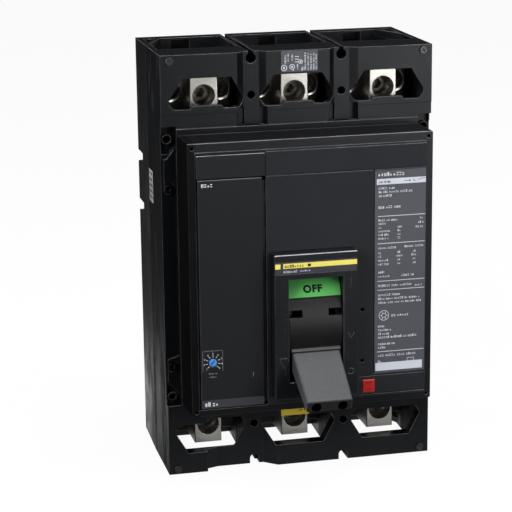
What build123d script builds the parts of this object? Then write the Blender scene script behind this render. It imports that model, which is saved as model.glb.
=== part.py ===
from build123d import *
import math
import os

os.makedirs("parts", exist_ok=True)

# Three-pole molded case circuit breaker with a 210 x 327 mm case, contacts open.
# X runs to the right, the front looks along -Y, Z is up.  The origin is the centre
# of the flat back.  Depth "d" is the distance in front of the back plane (d = -Y);
# a point in a side view is written (d, z).  Line side is at the top, load side below.

# ---------------------------------------------------------------- shared sizes
CUT = Mode.SUBTRACT
SIGNS = (1, -1)                  # right and left, or top and bottom

HALF_W, HALF_H = 210.0 / 2, 327.0 / 2
D_PART = 47.0                    # parting plane between rear base and middle case
D_DECK = 88.0                    # inner deck that carries the mechanism
D_BLOCK = 106.0                  # front face of the terminal blocks
D_COVER = 145.5                  # front face of the cover frame
D_PANEL = 146.2                  # raised panel inside the frame
D_BAY = 143.4                    # back of the plates over the trip unit
D_SURROUND = 157.0               # front face of the handle surround

POLES = (-70.0, 0.0, 70.0)       # X of the pole centres
WALLS = (-35.0, 35.0)            # X of the walls between the poles
ROOM = 30.5                      # half width of a pole chamber
FLOOR = 8.0                      # thickness of the back wall
Z_ARC = 104.0                    # end of the contact chamber
Z_TERM = 111.0                   # start of the terminal chamber
MOUNT_Z, MOUNT_R = 130.5, 3.1    # mounting holes, 70 x 261 pattern
SLOT_HALF = 2.0                  # half width of the barrier slots in the walls

COVER_HALF = 93.5                # half width of the cover frame
COVER_TOP, COVER_BOT = 104.3, -104.4
HOLLOW_HALF = 90                 # room behind the cover
HOLLOW_TOP, HOLLOW_BOT = 100.4, -100.9

# Handle surround and its window
SURROUND_HALF, SURROUND_TOP, SURROUND_BOT = 32, 19.5, -92.5
SURROUND_GAP = 0.25
WINDOW_HALF, WINDOW_TOP, WINDOW_BOT = 21.0, 0.5, -79.5

# Axes across the case, as (d, z)
PIVOT = (92.0, -39.5)            # handle
CROSSBAR = (66.0, -20.0)         # contact crossbar
TRIP = (118.0, -60.0)            # trip shaft
CRADLE_PIN = (78.0, 6.0)
LINK_PIN = (106.0, 10.0)         # upper link pivot on the cradle
SHAFT_R = 5.0                    # handle shaft
CROSSBAR_R = 9.0
TRIP_R = 3.5
DRUM_R = 64.0
HUB_HOLE = SHAFT_R + 0.06        # bore of the parts that turn on the handle shaft

# Straps, lugs and their screws
STRAP_D0, STRAP_D1 = 14.0, 20.0
STRAP_HALF = 16.8
STRAP_SLOT = (13.6, 20.6)        # depth range of the passages round a strap
LUG_Z = 129.8
LUG_IN, LUG_OUT = 116.0, 144.5
LUG_SHIFT = 0.7                  # front screw beside the pole centre, reversed on the load side
BARREL_SCREW_X = 19.6            # screws of the rear barrels, from the pole centre
LUG_FIXING_Z = (122.5, 138.0)    # screws that hold the lugs on the straps
COVER_SCREW_X, COVER_SCREW_Z = 100.0, (63.0, -76.4)
CORNER_X, CORNER_Z = 98.0, 159.2  # corner screws

DIAL = (-77.2, -62.0)            # (x, z)
BUTTON = (43.65, -90.65)         # (x, z)

# Label beds; each label is smaller by LABEL_GAP all round
LABEL_GAP = 0.2
NAMEPLATE_BED = (48.0, 88.2, -81, 76.8)        # x0, x1, z0, z1
RATING_BED = (-86.3, -38.0, -97.9, -91.3)      # x0, x1, z0, z1
SURROUND_BED = (-31.4, 31.4, 4.7, 14.3)        # x0, x1, z0, z1
SIDE_BED = (48.0, 64.2, 43.1, 68.7)            # d0, d1, z0, z1


# --------------------------------------------------------------------- helpers
def front(d):
    """Plane facing the viewer at depth d; sketch x, y are X, Z."""
    return Plane.XZ.offset(d)


def side(x):
    """Plane facing +X; sketch x is Y (that is -d), sketch y is Z."""
    return Plane.YZ.offset(x)


def block(x0, x1, d0, d1, z0, z1, mode=Mode.ADD):
    """Box between two limits on each axis, given in either order."""
    with Locations(((x0 + x1) / 2, -(d0 + d1) / 2, (z0 + z1) / 2)):
        Box(abs(x1 - x0), abs(d1 - d0), abs(z1 - z0), mode=mode)


def mid_block(x, half_w, d0, d1, z0, z1, mode=Mode.ADD):
    """Box centred on x."""
    block(x - half_w, x + half_w, d0, d1, z0, z1, mode)


def rod_x(x0, x1, axis, r, mode=Mode.ADD):
    """Cylinder across the case about axis = (d, z)."""
    with Locations(Location(((x0 + x1) / 2, -axis[0], axis[1]), (0, 90, 0))):
        Cylinder(r, abs(x1 - x0), mode=mode)


def rod_y(x, z, d0, d1, r, mode=Mode.ADD):
    with Locations(Location((x, -(d0 + d1) / 2, z), (90, 0, 0))):
        Cylinder(r, abs(d1 - d0), mode=mode)


def rod_z(x, d, z0, z1, r, mode=Mode.ADD):
    with Locations((x, -d, (z0 + z1) / 2)):
        Cylinder(r, abs(z1 - z0), mode=mode)


def cone_cut(x, z, d0, d1, r0, r1):
    """Conical cut from radius r0 at depth d0 to radius r1 at d1."""
    with Locations(Location((x, -(d0 + d1) / 2, z), (90, 0, 0))):
        Cone(r0, r1, d1 - d0, mode=CUT)


def prism_x(points, x0, x1, mode=Mode.ADD):
    """Side profile [(d, z), ...] extruded from x0 to x1."""
    with BuildSketch(side(x0)) as sk:
        with BuildLine():
            Polyline(*[(-d, z) for d, z in points], close=True)
        make_face()
    extrude(sk.sketch, amount=x1 - x0, mode=mode)


def prism_y(points, d0, d1):
    """Front profile [(x, z), ...] extruded from d0 to d1."""
    with BuildSketch(front(d0)) as sk:
        with BuildLine():
            Polyline(*points, close=True)
        make_face()
    extrude(sk.sketch, amount=d1 - d0)


def prism_z(points, z0, z1, mode=Mode.ADD):
    """Plan profile [(x, d), ...] extruded from z0 to z1."""
    with BuildSketch(Plane.XY.offset(z0)) as sk:
        with BuildLine():
            Polyline(*[(x, -d) for x, d in points], close=True)
        make_face()
    extrude(sk.sketch, amount=z1 - z0, mode=mode)


def terminal_window(pole, corners):
    """Opening through the front wall; corners are (x from pole, z, corner radius)."""
    with BuildSketch(front(80)) as sk:
        with BuildLine():
            Polyline(*[(pole + x, z) for x, z, _ in corners], close=True)
        make_face()
        for x, z, r in corners:
            fillet(min(sk.vertices(), key=lambda v: abs(v.X - pole - x) + abs(v.Y - z)), r)
    extrude(sk.sketch, amount=30, mode=CUT)


def polar(centre, r, angle):
    """(d, z) at radius r and an angle in degrees above the forward direction."""
    t = math.radians(angle)
    return centre[0] + r * math.cos(t), centre[1] + r * math.sin(t)


def pivot_pt(r, angle):
    """Side-sketch point about the handle pivot."""
    d, z = polar(PIVOT, r, angle)
    return -d, z


def arc_band(r0, r1, a0, a1, x0, x1, mode=Mode.ADD):
    """Part of a shell about the handle pivot."""
    mid = (a0 + a1) / 2
    with BuildSketch(side(x0)) as sk:
        with BuildLine():
            ThreePointArc(pivot_pt(r1, a0), pivot_pt(r1, mid), pivot_pt(r1, a1))
            Line(pivot_pt(r1, a1), pivot_pt(r0, a1))
            ThreePointArc(pivot_pt(r0, a1), pivot_pt(r0, mid), pivot_pt(r0, a0))
            Line(pivot_pt(r0, a0), pivot_pt(r1, a0))
        make_face()
    extrude(sk.sketch, amount=x1 - x0, mode=mode)


def inset(bed):
    """Limits of the label that lies in a bed."""
    a0, a1, b0, b1 = bed
    return a0 + LABEL_GAP, a1 - LABEL_GAP, b0 + LABEL_GAP, b1 - LABEL_GAP


def on_front(bed, d0, d1, mode=Mode.ADD):
    """Box over an (x0, x1, z0, z1) area of the front."""
    x0, x1, z0, z1 = bed
    block(x0, x1, d0, d1, z0, z1, mode)


def round_y(piece, r):
    """Round all edges that run front to back."""
    fillet(piece.edges().filter_by(Axis.Y), r)


def front_rim(piece):
    return piece.faces().sort_by(Axis.Y)[0].edges()


def save(piece, label):
    piece.part.label = label
    export_step(piece.part, f"parts/{label}.step")


# ------------------------------------------------------------------- rear base
with BuildPart() as rear_base:
    # the lower rear edge is bevelled
    prism_x([(0, HALF_H), (D_PART, HALF_H), (D_PART, -HALF_H), (0, -HALF_H + 3)],
            -HALF_W, HALF_W)
    for pole in POLES:
        mid_block(pole, ROOM, FLOOR, D_PART + 1, -Z_ARC, Z_ARC, CUT)
        for s, rim in ((1, 11.4), (-1, 23.5)):
            mid_block(pole, ROOM, FLOOR, D_PART + 1, s * Z_TERM, s * 150, CUT)
            mid_block(pole, ROOM, rim, D_PART + 1, s * 149, s * 165, CUT)
            # strap passage through the wall between the chambers
            mid_block(pole, 17.6, *STRAP_SLOT, s * 103, s * 112, CUT)
            # seats behind the straps
            block(pole - 25, pole - 14, FLOOR, STRAP_D0, s * 112, s * 147)
            block(pole + 14, pole + 25, FLOOR, STRAP_D0, s * 112, s * 147)
        mid_block(pole, 15, FLOOR, STRAP_D0, 30, 98)
        mid_block(pole, 15, FLOOR, STRAP_D0, -66, -52)
        # pocket under the top rim
        block(pole - 9, pole + 6, 4, 12, 154.5, 162, CUT)
    # corner braces of the end openings
    for sx in SIGNS:
        brace = [(sx * 101.5, 43.2), (sx * 101.5, 38.2), (sx * 91.6, 10.5), (sx * 87.5, 10.5)]
        prism_z(brace, 157.5, HALF_H)
        prism_z(brace, -HALF_H + 1.6, -157.5)
    for wall in WALLS:
        # barrier slots, open to the ends
        mid_block(wall, SLOT_HALF, -1, D_PART + 1, 138.5, 165, CUT)
        mid_block(wall, SLOT_HALF, -1, D_PART + 1, -165, -157, CUT)
        for s in SIGNS:
            rod_y(wall, s * MOUNT_Z, -1, D_PART + 1, MOUNT_R, CUT)
    # notches in the two long sides, with a sloped lower face
    for sx in SIGNS:
        for top in (74.4, 34.4):
            prism_x([(-1, top), (20, top), (20, top - 4.9), (-1, top - 9.4)],
                    *sorted((sx * 101.4, sx * 106)), mode=CUT)
    # shallow relief along the front of the side walls
    for sx in SIGNS:
        block(sx * (HALF_W - 0.7), sx * (HALF_W + 1), D_PART - 1.2, D_PART + 1,
              -HALF_H - 1, HALF_H + 1, CUT)
save(rear_base, "rear_base")

# ----------------------------------------------------------------- middle case
# Plan outlines of the terminal blocks, as (x, d)
TOP_BLOCK = [
    (-HALF_W, D_PART), (-HALF_W, D_BLOCK), (-46.8, D_BLOCK), (-41, 101), (-29, 101),
    (-24.4, D_BLOCK), (24.4, D_BLOCK), (29, 101), (41, 101), (46.8, D_BLOCK),
    (HALF_W, D_BLOCK), (HALF_W, D_PART),
]
BOTTOM_BLOCK = [
    (-HALF_W, D_PART), (-HALF_W, D_BLOCK), (-74.4, D_BLOCK), (-74.4, 100.3), (-64.5, 97),
    (-28, 97), (-18.2, D_BLOCK), (HALF_W, D_BLOCK), (HALF_W, D_PART),
]
# Raised plates of the right ledge, as (x, z)
UPPER_PLATE = [(93.9, 94.4), (100.8, 85.4), (103.2, 85.2), (103.2, 60.2), (101.5, 58.2),
               (98.3, 58.2), (93.9, 62.2)]
LOWER_PLATE = [(93.9, -68), (103.2, -71), (103.7, -89.4), (97.5, -96.2), (93.9, -102.8)]
# Pockets at the ledge ends: boss z, pocket z0, z1, boss hole radius
LEDGE_POCKETS = ((100.0, 88.5, 110.3, 2.9), (-101.4, -107.6, -93.0, 2.4))
# Terminal window corners: x from the pole, z, corner radius
LINE_WINDOW = [
    (-18.5, 145.8, 1.5), (19, 145.8, 1.5), (29.6, 128.5, 5.0), (25.2, 122.6, 3.0),
    (13, 122.6, 1.0), (11, 125, 1.0), (-11, 125, 1.0), (-13, 122.6, 1.0),
    (-25.2, 122.6, 3.0), (-29.6, 128.5, 5.0),
]
LOAD_WINDOW = [
    (-19.5, -147.2, 1.5), (18.9, -147.2, 1.5), (28.4, -129.0, 5.0), (24.0, -123.6, 2.5),
    (-25.2, -123.6, 2.5), (-30.0, -129.5, 4.0),
]

with BuildPart() as mid_case:
    prism_z(TOP_BLOCK, Z_ARC, HALF_H)
    prism_z(BOTTOM_BLOCK, -HALF_H, -Z_ARC)
    mid_block(0, HALF_W, D_PART, 100, -Z_ARC, Z_ARC)
    mid_block(0, 94, 100, D_BLOCK, -Z_ARC, Z_ARC)
    # raised seat of the cover frame
    mid_block(0, 94, D_BLOCK, D_BLOCK + 1.6, COVER_TOP + 0.15, 108.4)
    mid_block(0, 94, D_BLOCK - 4, D_BLOCK, COVER_BOT - 4, COVER_BOT + 1)
    # ledges beside the cover: end pockets with bosses, plates, screw seats
    for sx in SIGNS:
        for boss_z, z0, z1, hole_r in LEDGE_POCKETS:
            block(sx * 93.9, sx * 104.2, 97.5, 107, z0, z1, CUT)
            block(sx * 104.0, sx * 106, 101.2, 107, z0, z1, CUT)
            rod_y(sx * 100.2, boss_z, 97, 101.2, 3.7)
            rod_y(sx * 100.2, boss_z, 86, 105, hole_r, CUT)
        for plate in (UPPER_PLATE, LOWER_PLATE):
            prism_y([(sx * x, z) for x, z in plate], 97.5, 102.6)
        for z in COVER_SCREW_Z:
            rod_y(sx * COVER_SCREW_X, z, 101.7, 103, 4.5, CUT)
            rod_y(sx * COVER_SCREW_X, z, 92, 103, 2.0, CUT)
    for pole in POLES:
        mid_block(pole, ROOM, D_PART - 1, D_DECK - 4, -Z_ARC, Z_ARC, CUT)
        # cable rooms, roofed in front
        for s, roof in ((1, 97), (-1, 95.4)):
            mid_block(pole, ROOM, D_PART - 1, 72.8, s * Z_TERM, s * 165, CUT)
            mid_block(pole, ROOM, 72, roof, s * Z_TERM, s * 159.5, CUT)
    # thinner front walls where the top block stands forward
    for x0, x1 in ((-100.5, -48), (-22.5, 22.5), (48, 100.5)):
        block(x0, x1, 96, 102.6, Z_TERM, 159.5, CUT)
    # front room behind the cover, opened through the deck in the middle
    mid_block(0, HOLLOW_HALF, D_DECK, 108, HOLLOW_BOT, HOLLOW_TOP, CUT)
    mid_block(0, ROOM, D_DECK - 5, D_DECK + 1, -98, 62, CUT)
    for pole in POLES:
        terminal_window(pole, LINE_WINDOW)
        terminal_window(pole, LOAD_WINDOW)
    # low step across the top block, pockets beside the sunk channels
    for x0, x1 in ((-106, -46.9), (-24.3, 24.3), (46.9, 106)):
        block(x0, x1, D_BLOCK - 0.7, D_BLOCK + 1, 108.5, 119.2, CUT)
    for x0, x1 in ((-46.8, -40.6), (-29.4, -23.4), (23.4, 29.4), (40.6, 46.8)):
        block(x0, x1, 99, 107, 108.5, 121.5, CUT)
    for wall in WALLS:
        # barrier slots with round ends
        mid_block(wall, SLOT_HALF, D_PART - 1, 97, 138.5, 165, CUT)
        mid_block(wall, SLOT_HALF, 96, 102, 158, 165, CUT)
        rod_y(wall, 158.2, 90, 102, 4.0, CUT)
        mid_block(wall, SLOT_HALF, D_PART - 1, 107, -165, -157, CUT)
        mid_block(wall, 3.7, 88, 107, -165, -159.5, CUT)
        rod_y(wall, -159.5, 88, 107, 3.7, CUT)
        for s in SIGNS:
            rod_y(wall, s * MOUNT_Z, D_PART - 1, 108, MOUNT_R, CUT)
        # bearing of the crossbar
        rod_x(wall - 6, wall + 6, CROSSBAR, CROSSBAR_R + 0.08, CUT)
    # bed of the side label
    block(-HALF_W - 1, -HALF_W + 0.2, *SIDE_BED, CUT)
    # bearing of the trip shaft
    block(76, 81, D_DECK - 0.5, TRIP[0] + 5, TRIP[1] - 5.5, TRIP[1] + 5.5)
    rod_x(75, 82, TRIP, TRIP_R + 0.05, CUT)
    # sockets of the corner screws
    for sx in SIGNS:
        for sz in SIGNS:
            rod_y(sx * CORNER_X, sz * CORNER_Z, 96, 107, 1.9, CUT)
save(mid_case, "mid_case")

# ----------------------------------------------------------------- front cover
with BuildPart() as front_cover:
    mid_block(0, COVER_HALF, D_BLOCK, D_COVER, COVER_BOT, COVER_TOP)
    round_y(front_cover, 1.1)
    fillet(front_rim(front_cover), 0.7)
    mid_block(0, HOLLOW_HALF, D_BLOCK - 1, D_BAY, HOLLOW_BOT, HOLLOW_TOP, CUT)
    # raised panel with a double step along its upper edge
    block(-88.3, 88.5, D_COVER - 0.5, D_PANEL - 0.35, -99.3, 97.5)
    block(-88.3, 88.5, D_COVER - 0.5, D_PANEL, -99.3, 95.8)
    # bay of the trip unit
    block(-87.9, -35.4, 140, D_COVER + 1, -98.9, 95.8, CUT)
    # opening of the handle surround
    mid_block(0, SURROUND_HALF + SURROUND_GAP, 140, D_COVER + 1,
              SURROUND_BOT - SURROUND_GAP, SURROUND_TOP + SURROUND_GAP, CUT)
    on_front(NAMEPLATE_BED, D_PANEL - 0.3, D_COVER + 1, CUT)
    # button hole
    mid_block(BUTTON[0], 5, 140, D_COVER + 1, -95.85, -85.45, CUT)
    # small holes right of the handle surround
    for z in (-30.0, -70.1):
        rod_y(38.65, z, 142, 148, 1.5, CUT)
    # small holes in the frame corners
    for x in (-HOLLOW_HALF, HOLLOW_HALF):
        for z in (100.5, -100.9):
            rod_y(x, z, 136, 148, 1.4, CUT)
    # fine step lines of the panel
    block(-35, 88.4, D_PANEL - 0.35, D_PANEL + 0.1, 77.5, 78.1, CUT)
    block(36.5, 88.4, D_PANEL - 0.35, D_PANEL + 0.1, -82.9, -82.4, CUT)
    block(36.5, 88.4, D_PANEL - 0.35, D_PANEL + 0.1, -97.4, -96.9, CUT)
    block(47.2, 48.0, D_PANEL - 0.6, D_PANEL + 0.1, -81, 77.5, CUT)
    # groove in the top and bottom faces of the frame
    for z in (COVER_TOP, COVER_BOT):
        mid_block(0, COVER_HALF + 1, 110.4, 111.2, z - 0.4, z + 0.4, CUT)
save(front_cover, "front_cover")

# ----------------------------------------------------------- covers of the bay
with BuildPart() as blank_plate:
    block(-87.4, -35.9, D_BAY, 147.2, 77.9, 95.3)
    round_y(blank_plate, 0.6)
    chamfer(front_rim(blank_plate), 0.35)
    # hollow collar behind
    block(-80, -44, 141.2, D_BAY, 82, 91)
    block(-78.6, -45.4, 140, 142.9, 83.4, 89.6, CUT)
save(blank_plate, "blank_plate")

with BuildPart() as trip_unit_cover:
    block(-86.5, -38.0, D_BAY, 146.5, -98.2, 76.9)
    round_y(trip_unit_cover, 0.6)
    chamfer(front_rim(trip_unit_cover), 0.35)
    # rails along the left and right edges
    block(-87.6, -86.5, D_BAY, 144.6, -96, 74)
    block(-38.0, -36.0, D_BAY, 145.0, -96, 74)
    rod_y(*DIAL, 142, 148, 2.9, CUT)
    rod_y(*DIAL, 146.2, 148, 3.6, CUT)
    # test socket slot
    block(-47.1, -46.5, 145.4, 147, -75.2, -71.6, CUT)
    on_front(RATING_BED, 146.2, 147, CUT)
    # stiffening ribs behind
    for z in (40.0, 0.0, -40.0):
        block(-82, -42, 142.8, D_BAY, z - 0.8, z + 0.8)
save(trip_unit_cover, "trip_unit_cover")

# -------------------------------------------------------------- handle surround
# Engraved strokes, as (x0, z0, x1, z1)
STROKES = (
    (24.6, -43.2, 26.8, -47.2), (28.9, -43.6, 26.8, -47.2), (-28.3, -59.8, -22.9, -59.8),
    (-28.1, -61.6, -24.6, -67.5), (-24.0, -66.0, -24.0, -73.4),
)
with BuildPart() as escutcheon:
    mid_block(0, SURROUND_HALF, 143.3, D_SURROUND, SURROUND_BOT, SURROUND_TOP)
    round_y(escutcheon, 1.2)
    fillet(front_rim(escutcheon), 0.9)
    # flange behind the cover
    mid_block(0, 37, 140.2, 143.3, -97, 24)
    mid_block(0, WINDOW_HALF, 139, 158, WINDOW_BOT, WINDOW_TOP, CUT)
    # relief behind the window for the drum
    mid_block(0, WINDOW_HALF + 2, 139, 146.5, WINDOW_BOT - 4.6, WINDOW_TOP + 4.6, CUT)
    on_front(SURROUND_BED, D_SURROUND - 0.25, 158, CUT)
    # engraved position marks: a bar, a ring and single strokes
    block(26.1, 26.6, D_SURROUND - 0.5, 158, -7.6, -1.6, CUT)
    with BuildSketch(front(D_SURROUND - 0.5)):
        with Locations((26.6, -73.6)):
            Circle(2.5)
            Circle(2.0, mode=CUT)
    extrude(amount=1, mode=CUT)
    for x0, z0, x1, z1 in STROKES:
        with BuildSketch(front(D_SURROUND - 0.4)):
            with BuildLine():
                Line((x0, z0), (x1, z1))
            trace(line_width=0.4)
        extrude(amount=1, mode=CUT)
save(escutcheon, "escutcheon")

# --------------------------------------------------------------- plates, labels
# name, (x0, x1, z0, z1), back depth, front depth, corner radius
FRONT_LABELS = (
    ("rating_strip", inset(RATING_BED), 146.2, 146.5, 0.4),
    ("nameplate", inset(NAMEPLATE_BED), D_PANEL - 0.3, D_PANEL + 0.1, 0.8),
    ("escutcheon_label", inset(SURROUND_BED), D_SURROUND - 0.25, D_SURROUND + 0.1, 0.5),
    ("top_label", (-13, 15.3, 147.2, 162.9), D_BLOCK, D_BLOCK + 0.2, 0.9),
    ("lower_label", (-15.3, 7.2, -123.2, -112.0), D_BLOCK, D_BLOCK + 0.2, 0),
)
for name, area, d0, d1, radius in FRONT_LABELS:
    with BuildPart() as label:
        on_front(area, d0, d1)
        if radius:
            round_y(label, radius)
    save(label, name)

with BuildPart() as side_label:
    block(-HALF_W, -HALF_W + 0.2, *inset(SIDE_BED))
save(side_label, "side_label")

# ---------------------------------------------------------------------- screws
with BuildPart() as cover_screws:
    for sx in SIGNS:
        for z in COVER_SCREW_Z:
            rod_y(sx * COVER_SCREW_X, z, 93, 101.7, 1.95)
            rod_y(sx * COVER_SCREW_X, z, 101.7, 104.6, 3.1)
            rod_y(sx * COVER_SCREW_X, z, 103.0, 106, 1.5, CUT)
save(cover_screws, "cover_screws")

with BuildPart() as corner_screws:
    for sx in SIGNS:
        for sz in SIGNS:
            x, z = sx * CORNER_X, sz * CORNER_Z
            rod_y(x, z, 97, D_BLOCK, 1.85)
            rod_y(x, z, D_BLOCK, D_BLOCK + 1.3, 2.9)
            # cross recess
            for angle in (20, 110):
                with BuildSketch(front(D_BLOCK + 0.6)):
                    with Locations((x, z)):
                        Rectangle(3.4, 0.6, rotation=angle)
                extrude(amount=1, mode=CUT)
save(corner_screws, "corner_screws")

# ------------------------------------------------------ cable lugs and screws
for row, s in (("line", 1), ("load", -1)):
    lug_z = s * LUG_Z
    for i, pole in enumerate(POLES, 1):
        with BuildPart() as lug:
            screw_x = pole + s * LUG_SHIFT
            mid_block(screw_x, 10.7, STRAP_D1, 90.7, s * LUG_IN, s * LUG_OUT)
            fillet(lug.edges().filter_by(Axis.Z).group_by(Axis.Y)[0], 0.8)
            # two rear barrels, rounded at the outer front corner
            for sx in SIGNS:
                with BuildSketch(Plane.XY.offset(min(s * LUG_IN, s * LUG_OUT))) as barrel:
                    with BuildLine():
                        Polyline((pole + sx * 8, -STRAP_D1), (pole + sx * 29, -STRAP_D1),
                                 (pole + sx * 29, -60), (pole + sx * 8, -60), close=True)
                    make_face()
                    corners = barrel.vertices().sort_by(
                        lambda v: abs(v.X - pole) * 1000 - v.Y)
                    fillet(corners[-1], 4.0)
                extrude(amount=LUG_OUT - LUG_IN)
            # cable bores, and the screw bores of the barrels
            rod_z(pole, 61.5, s * 115, s * 146, 9.5, CUT)
            for sx in SIGNS:
                x = pole + sx * BARREL_SCREW_X
                rod_z(pole + sx * 17.0, 34.0, s * 115, s * 146, 8.5, CUT)
                rod_y(x, lug_z, 40, 61, 7.6, CUT)
                cone_cut(x, lug_z, 58.75, 60.05, 7.6, 8.8)
            # front screw bore: wide mouth, cone, threaded part
            rod_y(screw_x, lug_z, 79, 92, 8.7, CUT)
            cone_cut(screw_x, lug_z, 75, 79, 6.8, 8.7)
            rod_y(screw_x, lug_z, 62, 79, 6.8, CUT)
            for z in LUG_FIXING_Z:
                rod_y(pole, s * z, STRAP_D1 - 1, 42, 2.9, CUT)
        save(lug, f"{row}_lug_{i}")

    with BuildPart() as set_screws:
        for pole in POLES:
            screw_x = pole + s * LUG_SHIFT
            rod_y(screw_x, lug_z, 64.5, 73.2, 6.72)
            rod_y(screw_x, lug_z, 73.2, 73.9, 6.1)
            with BuildSketch(front(67)):
                with Locations((screw_x, lug_z)):
                    RegularPolygon(4.1, 6)
            extrude(amount=8, mode=CUT)
            for sx in SIGNS:
                x = pole + sx * BARREL_SCREW_X
                rod_y(x, lug_z, 45, 56.6, 7.52)
                rod_y(x, lug_z, 56.6, 57.4, 6.8)
                with BuildSketch(front(50)):
                    with Locations((x, lug_z)):
                        RegularPolygon(5.0, 6)
                extrude(amount=9, mode=CUT)
    save(set_screws, f"{row}_set_screws")

with BuildPart() as lug_mount_screws:
    for s in SIGNS:
        for pole in POLES:
            for z in LUG_FIXING_Z:
                rod_y(pole, s * z, STRAP_D0, 41, 2.85)
                rod_y(pole, s * z, 9.5, STRAP_D0, 5.0)
                with BuildSketch(front(9)):
                    with Locations((pole, s * z)):
                        RegularPolygon(2.9, 6)
                extrude(amount=3, mode=CUT)
save(lug_mount_screws, "lug_mount_screws")

# ------------------------------------------------ terminal straps and contacts
for row, s, inner_end in (("line", 1, 26), ("load", -1, 50)):
    for i, pole in enumerate(POLES, 1):
        with BuildPart() as strap:
            mid_block(pole, 25, STRAP_D0, STRAP_D1, s * 113, s * 147)
            mid_block(pole, STRAP_HALF, STRAP_D0, STRAP_D1, s * inner_end, s * 113)
            round_y(strap, 1.5)
            for z in LUG_FIXING_Z:
                rod_y(pole, s * z, STRAP_D0 - 1, STRAP_D1 + 1, 2.95, CUT)
        save(strap, f"{row}_strap_{i}")

with BuildPart() as fixed_contacts:
    for pole in POLES:
        mid_block(pole, 6.5, STRAP_D1, STRAP_D1 + 1.7, 29, 43)
    round_y(fixed_contacts, 1.2)
save(fixed_contacts, "fixed_contacts")

# ------------------------------------------------------------------ arc chutes
PLATE_COUNT, PLATE_D, PLATE_PITCH, PLATE_T = 8, 32, 6, 1.6
PLATE_DEPTHS = [PLATE_D + PLATE_PITCH * k for k in range(PLATE_COUNT)]
# Right half of a splitter plate with its side tab, as (x from pole, z)
PLATE_HALF = [(3, 68), (8.5, 58), (10, 51), (22.3, 51), (22.3, 70.2), (23.5, 70.2),
              (23.5, 75.8), (22.3, 75.8), (22.3, 99.4)]
PLATE_OUTLINE = PLATE_HALF + [(-x, z) for x, z in reversed(PLATE_HALF)]

for i, pole in enumerate(POLES, 1):
    with BuildPart() as arc_chute:
        mid_block(pole, 25, 26, 82, 50, 102)
        mid_block(pole, 22.4, 25, 83, 49, 99.6, CUT)
        # ribs on the side walls
        for x in (pole - 25.5, pole + 23.5):
            for z in (62, 74, 86):
                block(x, x + 2, 30, 78, z, z + 2)
        # slots for the plate tabs
        for d in PLATE_DEPTHS:
            mid_block(pole, 23.6, d, d + PLATE_T, 70, 76, CUT)
    save(arc_chute, f"arc_chute_{i}")

with BuildPart() as deion_plates:
    for pole in POLES:
        for d in PLATE_DEPTHS:
            prism_y([(pole + x, z) for x, z in PLATE_OUTLINE], d, d + PLATE_T)
save(deion_plates, "deion_plates")

# ----------------------------------------------- crossbar and moving contacts
BAR_D, BAR_Z = CROSSBAR
DRIVE_PIN = polar(CROSSBAR, 20.0, 30.0)          # on the drive ears, contacts open
CONTACT = (BAR_D - 6, BAR_Z + 68)                # centre of the round contact tips
CONTACT_R = 5.0

with BuildPart() as crossbar:
    rod_x(-97, 97, CROSSBAR, CROSSBAR_R)
    for pole in POLES:
        # hub with a slot for the arm
        mid_block(pole, 12, BAR_D - 11, BAR_D + 9, BAR_Z - 14, BAR_Z + 13)
        mid_block(pole, 6.1, BAR_D - 12, BAR_D + 12, BAR_Z - 19, BAR_Z + 14, CUT)
    # drive ears in the centre pole
    pin_y, pin_z = -DRIVE_PIN[0], DRIVE_PIN[1]
    for x in (-13.4, 10.2):
        with BuildSketch(side(x)):
            with Locations((pin_y, pin_z)):
                Circle(4.6)
            with BuildLine():
                Polyline((-BAR_D - 3, BAR_Z + 8.0), (pin_y + 2.4, pin_z + 4.0),
                         (pin_y - 2.4, pin_z - 4.0), (-BAR_D - 6.5, BAR_Z - 4.5), close=True)
            make_face()
        extrude(amount=3.2)
    rod_x(-13.4, 13.4, DRIVE_PIN, 2.5)
    # joins across the arm slots, behind the arms
    for pole in POLES:
        mid_block(pole, 12, BAR_D - 15, BAR_D - 9.5, BAR_Z - 10, BAR_Z + 10)
save(crossbar, "crossbar")

ARM_PROFILE = [(60, -38), (60, 52), (66, 52), (70.5, 40), (72, 10), (72, -38)]   # (d, z)
for i, pole in enumerate(POLES, 1):
    with BuildPart() as contact_arm:
        prism_x(ARM_PROFILE, pole - 6, pole + 6)
        fillet(contact_arm.edges().filter_by(Axis.X).group_by(Axis.Z)[0], 3)
        rod_x(pole - 7, pole + 7, CONTACT, CONTACT_R, CUT)
        # lengthwise slot through the arm
        mid_block(pole, 1, 59, 73, 5, 34, CUT)
    save(contact_arm, f"contact_arm_{i}")

with BuildPart() as moving_contacts:
    for pole in POLES:
        rod_x(pole - 6, pole + 6, CONTACT, CONTACT_R)
save(moving_contacts, "moving_contacts")

# flexible leads from the load strap to the arm heel, as side-sketch points (-d, z)
LEAD_OUTER = [(-20, -57), (-29, -60), (-39, -52), (-47, -41), (-50.5, -33)]
LEAD_INNER = [(-46.6, -31.6), (-43, -39), (-36, -48), (-28.5, -54.5), (-20, -51.5)]
with BuildPart() as flex_leads:
    for pole in POLES:
        for x0 in (pole - 13.6, pole + 7.4):
            with BuildSketch(side(x0)):
                with BuildLine():
                    outer = Spline(*LEAD_OUTER)
                    Line(outer @ 1, LEAD_INNER[0])
                    inner = Spline(*LEAD_INNER)
                    Line(inner @ 1, outer @ 0)
                make_face()
            extrude(amount=6.2)
save(flex_leads, "flex_leads")

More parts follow.
